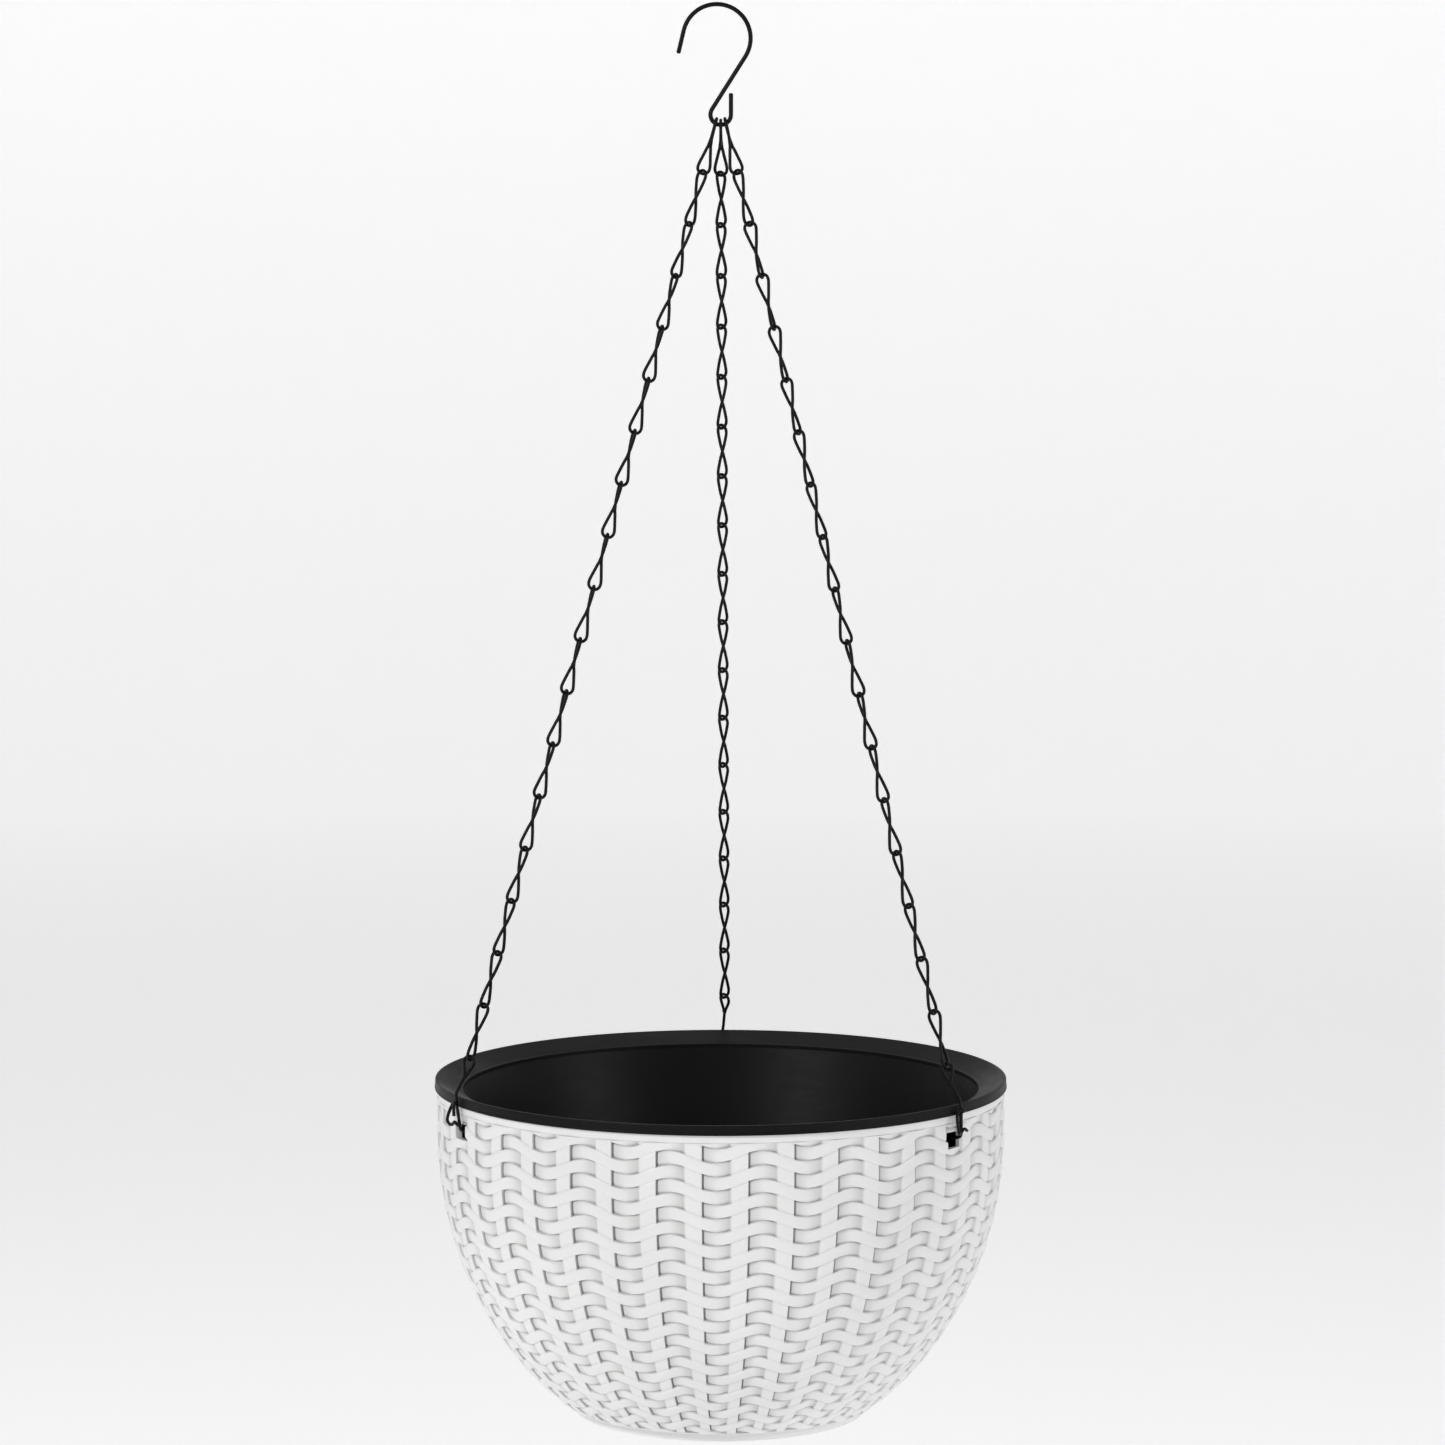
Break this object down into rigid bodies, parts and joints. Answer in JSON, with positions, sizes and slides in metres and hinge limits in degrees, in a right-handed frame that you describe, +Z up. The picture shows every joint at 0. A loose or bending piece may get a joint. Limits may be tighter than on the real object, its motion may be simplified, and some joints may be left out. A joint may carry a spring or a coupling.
{
  "type": "hanging basket",
  "caption": "Round hanging planter: woven-pattern plastic bowl, lift-out liner pot, twisted-wire chains over the rim, and an S-hook to hang it from.",
  "frame": {"origin": "underside of the S-hook's crown, where it rests on the rod or bracket that the basket hangs from", "axes": "+Z up, along the bowl's axis; -Y is the front; +X to the right seen from the front"},
  "size_m": [0.2616, 0.2635, 0.6421],
  "materials": {
    "white_plastic": "semi-gloss moulded",
    "black_plastic": "satin moulded",
    "grate_plastic": "satin moulded",
    "plug_rubber": "matte",
    "black_wire": "satin black coat on steel wire"
  },
  "bodies": {
    "hook": {"s_hook": "black_wire"},
    "pot": {"outer_pot": "white_plastic"},
    "liner": {"inner_pot": "black_plastic"},
    "grate": {"drainage_grate": "grate_plastic"},
    "plug": {"drain_plug": "plug_rubber"},
    "chain_left": {"chain_left_1": "black_wire", "chain_left_2": "black_wire", "chain_left_3": "black_wire", "chain_left_4": "black_wire", "chain_left_5": "black_wire", "chain_left_6": "black_wire", "end_hook_left": "black_wire"},
    "chain_right": {"chain_right_1": "black_wire", "chain_right_2": "black_wire", "chain_right_3": "black_wire", "chain_right_4": "black_wire", "chain_right_5": "black_wire", "chain_right_6": "black_wire", "end_hook_right": "black_wire"},
    "chain_rear": {"chain_rear_1": "black_wire", "chain_rear_2": "black_wire", "chain_rear_3": "black_wire", "chain_rear_4": "black_wire", "chain_rear_5": "black_wire", "chain_rear_6": "black_wire", "end_hook_rear": "black_wire"}
  },
  "joints": [
    {"name": "basket_swing", "type": "hinge", "parent": "hook", "child": "pot", "pos_m": [0, 0, -0.0527], "axis": [1, 0, 0], "range_deg": [-20, 20]},
    {"name": "liner_lift", "type": "slide", "parent": "pot", "child": "liner", "axis": [0, 0, 1], "range_m": [0, 0.16]},
    {"name": "grate_lift", "type": "slide", "parent": "liner", "child": "grate", "axis": [0, 0, 1], "range_m": [0, 0.12]},
    {"name": "plug_pull", "type": "slide", "parent": "pot", "child": "plug", "axis": [0, 0, -1], "range_m": [0, 0.02]},
    {"name": "chain_left_spread", "type": "hinge", "parent": "pot", "child": "chain_left", "pos_m": [-0.00182, 0.00028, -0.04985], "axis": [-0.4407, 0.8976, 0], "range_deg": [0, 14.7]},
    {"name": "chain_right_spread", "type": "hinge", "parent": "pot", "child": "chain_right", "pos_m": [0.00182, 0.00037, -0.04985], "axis": [-0.5997, -0.8002, 0], "range_deg": [0, 14.7]},
    {"name": "chain_rear_spread", "type": "hinge", "parent": "pot", "child": "chain_rear", "pos_m": [0, -0.00062, -0.05063], "axis": [0.9999, -0.0148, 0], "range_deg": [0, 14.7]}
  ],
  "couplings": [
    {"joint": "chain_left_spread", "follows": "liner_lift", "rad_per_m": 1.6},
    {"joint": "chain_right_spread", "follows": "liner_lift", "rad_per_m": 1.6},
    {"joint": "chain_rear_spread", "follows": "liner_lift", "rad_per_m": 1.6}
  ]
}
